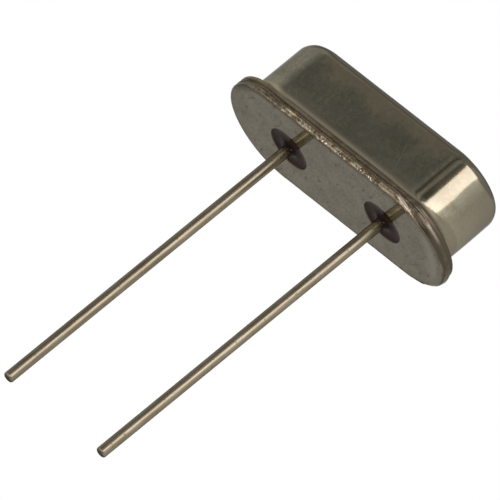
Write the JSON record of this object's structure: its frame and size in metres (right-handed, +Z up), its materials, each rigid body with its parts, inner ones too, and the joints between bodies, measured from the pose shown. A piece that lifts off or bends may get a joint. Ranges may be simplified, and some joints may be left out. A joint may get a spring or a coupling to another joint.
{
  "type": "crystal oscillator",
  "caption": "Low-profile quartz crystal in a welded oblong metal can with straight wire leads, for through-hole mounting.",
  "frame": {"origin": "on the seating face under the base, midway between the leads", "axes": "+Z up through the can, leads down along -Z; X from the left lead to the right lead; Y across the narrow width"},
  "size_m": [0.011, 0.0046, 0.0169],
  "materials": {
    "can_nickel": "satin",
    "base_steel": "satin",
    "weld_copper": "matte",
    "seal_glass": "satin",
    "lead_wire": "satin",
    "clip_spring": "satin",
    "quartz": "polished",
    "silver_film": "polished",
    "silver_epoxy": "matte"
  },
  "bodies": {
    "root": {"base_header": "base_steel", "glass_seal_left": "seal_glass", "glass_seal_right": "seal_glass", "lead_left": "lead_wire", "lead_right": "lead_wire", "weld_seam": "weld_copper", "can_cover": "can_nickel", "support_clip_left": "clip_spring", "support_clip_right": "clip_spring", "quartz_blank": "quartz", "electrode_lower": "silver_film", "electrode_upper": "silver_film", "adhesive_left": "silver_epoxy", "adhesive_right": "silver_epoxy"}
  },
  "joints": []
}
